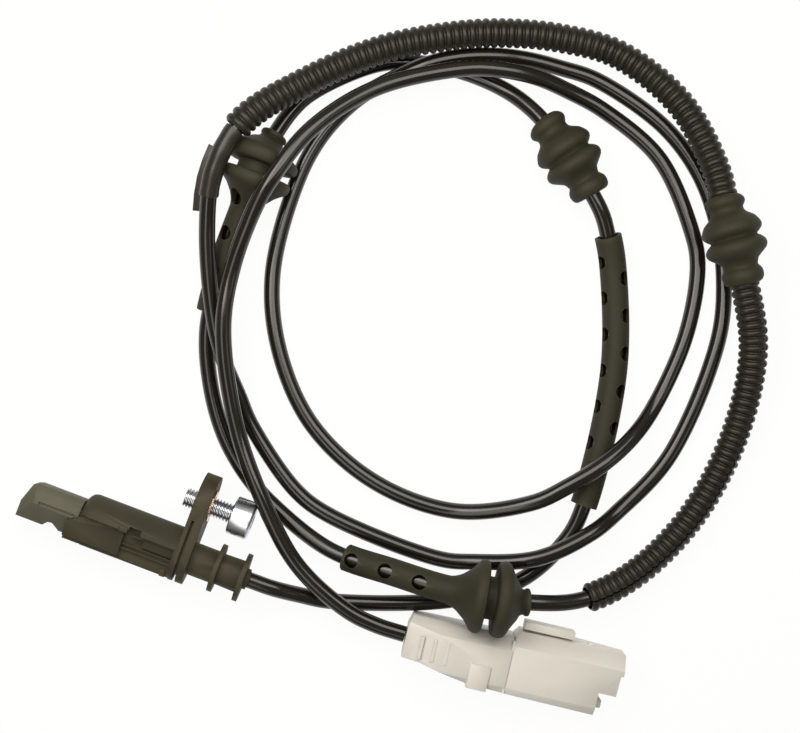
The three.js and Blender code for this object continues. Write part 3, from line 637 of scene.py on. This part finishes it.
def make_shrink():
    """A tight wrap with faint waves where it has shrunk."""
    end = SHRINK_START + SHRINK_LENGTH
    wall = [(SHRINK_START, 3.0), (SHRINK_START + 1.5, 3.05)]
    wall += [(x, 2.95 + 0.05 * math.sin(x * 0.9)) for x in spaced(SHRINK_START + 3, end - 0.4, 0.8)]
    wall += [(end, 2.85), (end, 2.58)]
    wall += [(x, 2.58) for x in reversed(spaced(SHRINK_START, end - 1, 2))]
    return smooth(thread_on_lead(turned("tight_wrap", wall, 40, closed=True)))


# The connector's joint and grip ribs

CONNECTOR_PLACE = shift(87.30, -7.76) @ turn(7.6, "Z")
CONNECTOR_HEIGHT = 15
BACK_COVER_LENGTH = 32.2
GRIP_RIB_STARTS = (4.5, 8.5, 12.5)


def detail_back_cover(cover):
    """Adds the tongue that closes the joint and the three raised grip ribs."""
    tongue = block("joint_tongue", (BACK_COVER_LENGTH - 0.4, -9.2, 0.4),
                   (BACK_COVER_LENGTH + 0.25, 6.6, CONNECTOR_HEIGHT - 0.4))
    rib = block("grip_rib", (0, -5.2, CONNECTOR_HEIGHT - 2.6), (1.1, 1.8, CONNECTOR_HEIGHT + 0.22))
    finish_with(rib, "BEVEL", width=0.2 * MM, segments=2)
    ribs = row_of(rib, *(CONNECTOR_PLACE @ shift(x) for x in GRIP_RIB_STARTS))
    return join_to(cover, place(tongue, CONNECTOR_PLACE), *ribs)


# Finishes

GRAIN_DEPTH = 0.05
# The edge amount is a painted highlight: it lightens the colour along convex edges.
SURFACE_VALUES = (
    ("Patch Amount", 0.2),
    ("Patch Scale", 60),
    ("Grain Scale", 2500),
    ("Roughness", 0.5),
    ("Roughness Spread", 0.1),
    ("Painted Edge Highlight", 0.2),
)


def surface_variation_group():
    """Soft patches of lighter and darker colour, fine grain, a painted highlight on convex edges, and
    their roughness and height.
    """
    tree = bpy.data.node_groups.new("moulded_surface", "ShaderNodeTree")
    add = tree.interface.new_socket
    add(name="Color", in_out="INPUT", socket_type="NodeSocketColor")
    for name, value in SURFACE_VALUES:
        add(name=name, in_out="INPUT", socket_type="NodeSocketFloat").default_value = value
    add(name="Color", in_out="OUTPUT", socket_type="NodeSocketColor")
    add(name="Roughness", in_out="OUTPUT", socket_type="NodeSocketFloat")
    add(name="Height", in_out="OUTPUT", socket_type="NodeSocketFloat")
    given = tree.nodes.new("NodeGroupInput").outputs
    where = tree.nodes.new("ShaderNodeTexCoord").outputs["Object"]
    bend = tree.nodes.new("ShaderNodeNewGeometry").outputs["Pointiness"]

    patches = new_node(tree, "ShaderNodeTexNoise", {
        "Vector": where, "Scale": given["Patch Scale"], "Detail": 4})
    grain = new_node(tree, "ShaderNodeTexNoise", {
        "Vector": where, "Scale": given["Grain Scale"], "Detail": 2})
    spread = new_node(tree, "ShaderNodeMapRange", {
        "Value": patches.outputs["Fac"], "From Min": 0.3, "From Max": 0.7,
        "To Min": -0.5, "To Max": 0.5})
    tint = new_node(tree, "ShaderNodeMath", {
        0: spread.outputs[0], 1: given["Patch Amount"], 2: 1}, operation="MULTIPLY_ADD")
    # Painted highlight: convex edges, found by Pointiness, are made lighter in colour.
    edge_highlight_mask = new_node(tree, "ShaderNodeMapRange", {"Value": bend, "From Min": 0.52, "From Max": 0.6})
    edge_highlight = new_node(tree, "ShaderNodeMath", {
        0: edge_highlight_mask.outputs[0], 1: given["Painted Edge Highlight"]}, operation="MULTIPLY")
    lightness = new_node(tree, "ShaderNodeMath", {
        0: tint.outputs[0], 1: edge_highlight.outputs[0]}, operation="ADD")
    color = new_node(tree, "ShaderNodeVectorMath", {
        0: given["Color"], "Scale": lightness.outputs[0]}, operation="SCALE")
    rough = new_node(tree, "ShaderNodeMath", {
        0: spread.outputs[0], 1: given["Roughness Spread"], 2: given["Roughness"]},
        operation="MULTIPLY_ADD")
    new_node(tree, "NodeGroupOutput", {
        "Color": color.outputs[0], "Roughness": rough.outputs[0], "Height": grain.outputs["Fac"]})
    return tree


def finish_material(name, color, roughness, patch=0.25, grain_scale=2500, bump=0.05, edge_highlight=0.2,
                    metallic=0.0, specular=0.5):
    """A moulded, turned or extruded finish from the shared surface group, with its edge amount as a
    painted highlight on convex edges.
    """
    material = bpy.data.materials.new(name)
    material.use_nodes = True
    tree = material.node_tree
    surface = new_node(tree, "ShaderNodeGroup", {
        "Color": (*color, 1), "Patch Amount": patch, "Grain Scale": grain_scale,
        "Roughness": roughness, "Painted Edge Highlight": edge_highlight}, node_tree=SURFACE)
    relief = new_node(tree, "ShaderNodeBump", {
        "Strength": bump, "Distance": GRAIN_DEPTH * MM, "Height": surface.outputs["Height"]})
    feed(tree.nodes["Principled BSDF"], {
        "Base Color": surface.outputs["Color"], "Roughness": surface.outputs["Roughness"],
        "Normal": relief.outputs["Normal"], "Metallic": metallic, "Specular IOR Level": specular})
    return material


def shade(red, green, blue):
    """An sRGB colour of 0 to 255 as the linear values that a shader takes."""
    def linear(value):
        value /= 255
        return value / 12.92 if value <= 0.04045 else ((value + 0.055) / 1.055) ** 2.4
    return tuple(linear(value) for value in (red, green, blue))


photo_camera()
white_world()
lead = make_lead()
pale_floor()
bpy.context.scene.view_settings.view_transform = "Standard"
for name, bearing, *setting in SOFTBOXES:
    soft_light(name, PICTURE_UP + bearing, *setting)

SURFACE = surface_variation_group()
# Each edge amount paints a lighter highlight along the finish's convex edges.
black_plastic = finish_material("sensor_plastic", shade(52, 48, 33), 0.6, bump=0.3, edge_highlight=0.5,
                                specular=0.25)
nose_plastic = finish_material("nose_plastic", shade(86, 83, 69), 0.6, bump=0.25, edge_highlight=0.3,
                               specular=0.25)
brass = finish_material("bush_brass", shade(226, 196, 164), 0.35, grain_scale=900, bump=0.1,
                        metallic=1.0)
zinc = finish_material("zinc_plate", shade(206, 208, 212), 0.28, grain_scale=600, bump=0.15,
                       metallic=1.0)
jacket = finish_material("lead_jacket", shade(24, 21, 13), 0.16, patch=0.15, grain_scale=4000,
                         bump=0.03, specular=0.55)
rubber = finish_material("black_rubber", shade(45, 42, 28), 0.62, bump=0.4, edge_highlight=0.6, specular=0.25)
conduit_plastic = finish_material("conduit_plastic", shade(33, 30, 22), 0.38, bump=0.1,
                                  specular=0.35)
wrap = finish_material("tight_wrap", shade(38, 36, 28), 0.3, bump=0.2, specular=0.4)
tape = finish_material("tape", shade(52, 47, 36), 0.4, bump=0.15, specular=0.4)
grey_plastic = finish_material("grey_plastic", shade(206, 202, 193), 0.45, patch=0.08, bump=0.15,
                               edge_highlight=0.05)
seal_rubber = finish_material("seal_rubber", shade(122, 74, 58), 0.65)
tinned = finish_material("tinned_copper", shade(205, 203, 196), 0.3, metallic=1.0)
resin = finish_material("chip_resin", shade(43, 43, 46), 0.5)

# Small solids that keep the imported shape
for node, material in (
    ("flange_bush", brass),
    ("sensing_chip", resin),
    ("lead_strip_1", tinned),
    ("lead_strip_2", tinned),
    ("connector_seal", seal_rubber),
    ("connector_pin_1", tinned),
    ("connector_pin_2", tinned),
):
    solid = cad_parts[node]
    solid.data.materials.clear()
    solid.data.materials.append(material)

# Sensor head
nose = soften(copy_of_node("sensor_nose", "nose_moulding"), 0.35)
housing = soften(detail_housing(copy_of_node("sensor_housing", "housing_moulding")), 0.2)
deliver(nose, nose_plastic, "nose_plastic", "sensor_nose")
deliver(housing, black_plastic, "black_plastic", "sensor_housing")
deliver(make_screw(), zinc, "zinc_steel", "fixing_screw")

# The lead's sleeves, bellows, grommets and conduits
sleeve = make_holed_sleeve()
front_bellows, rear_bellows = make_bellows()
front_grommet, rear_grommet = make_grommets()
lower_conduit = make_conduit("lower_conduit_tube", LOWER_CONDUIT_START, LOWER_CONDUIT_LENGTH, 10, 45)
upper_conduit = make_conduit("upper_conduit_tube", UPPER_CONDUIT_START, UPPER_CONDUIT_LENGTH, 180, 0)
shrink = make_shrink()
tape_tail = soften(copy_of_node("tape_tail", "tape_end"), 0.1)
deliver(sleeve, rubber, "black_rubber", "holed_sleeve")
deliver(front_bellows, rubber, "black_rubber", "front_bellows")
deliver(rear_bellows, rubber, "black_rubber", "rear_bellows")
deliver(front_grommet, rubber, "black_rubber", "front_grommet")
deliver(rear_grommet, rubber, "black_rubber", "rear_grommet")
deliver(lower_conduit, conduit_plastic, "conduit_plastic", "lower_conduit")
deliver(upper_conduit, conduit_plastic, "conduit_plastic", "upper_conduit")
deliver(shrink, wrap, "black_plastic", "shrink_sleeve")
deliver(tape_tail, tape, "black_plastic", "tape_tail")

# Connector
back_cover = detail_back_cover(soften(copy_of_node("connector_back_cover", "back_cover_moulding"), 0.4))
front_body = soften(copy_of_node("connector_housing", "front_body_moulding"), 0.4)
lock = soften(copy_of_node("connector_lock", "lock_slide"), 0.3)
deliver(back_cover, grey_plastic, "grey_plastic", "connector_back_cover")
deliver(front_body, grey_plastic, "grey_plastic", "connector_housing")
deliver(lock, grey_plastic, "grey_plastic", "connector_lock")

# The lead itself, with all that it carries
lead.data.materials.append(jacket)
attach(lead, "root")
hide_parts("lead_cable")
